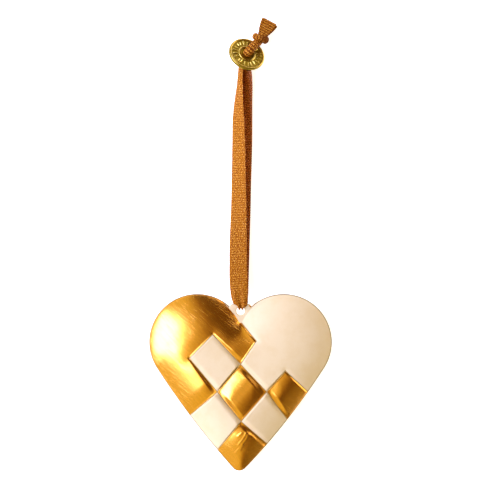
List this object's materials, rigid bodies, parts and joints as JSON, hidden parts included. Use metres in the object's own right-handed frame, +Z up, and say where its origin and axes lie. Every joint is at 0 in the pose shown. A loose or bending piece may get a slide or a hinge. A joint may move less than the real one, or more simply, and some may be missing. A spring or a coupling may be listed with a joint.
{
  "type": "braided metal heart ornament",
  "caption": "Puffed metal heart ornament pressed as a two-colour paper-weave braid, on a gathered ribbon loop with a small dished disc and a knot.",
  "frame": {"origin": "under the middle of the heart's width and height, on the surface that its back lies on", "axes": "+Z up out of the painted front, +Y from the heart's tip towards the lug and ribbon, +X across the heart towards the cream lobe"},
  "size_m": [0.062, 0.1544, 0.0109],
  "materials": {
    "painted_metal": "pressed sheet metal, gold paint and cream enamel",
    "painted_metal_back": "pressed sheet metal, gold paint and cream enamel",
    "ribbon": "fine ribbed woven ribbon, slight sheen",
    "brass": "aged polished brass"
  },
  "bodies": {
    "root": {"heart_front": "painted_metal", "heart_back": "painted_metal_back", "ribbon_loop": "ribbon", "ribbon_knot": "ribbon", "ribbon_tail_upper": "ribbon", "ribbon_tail_lower": "ribbon", "brass_disc": "brass"}
  },
  "joints": []
}
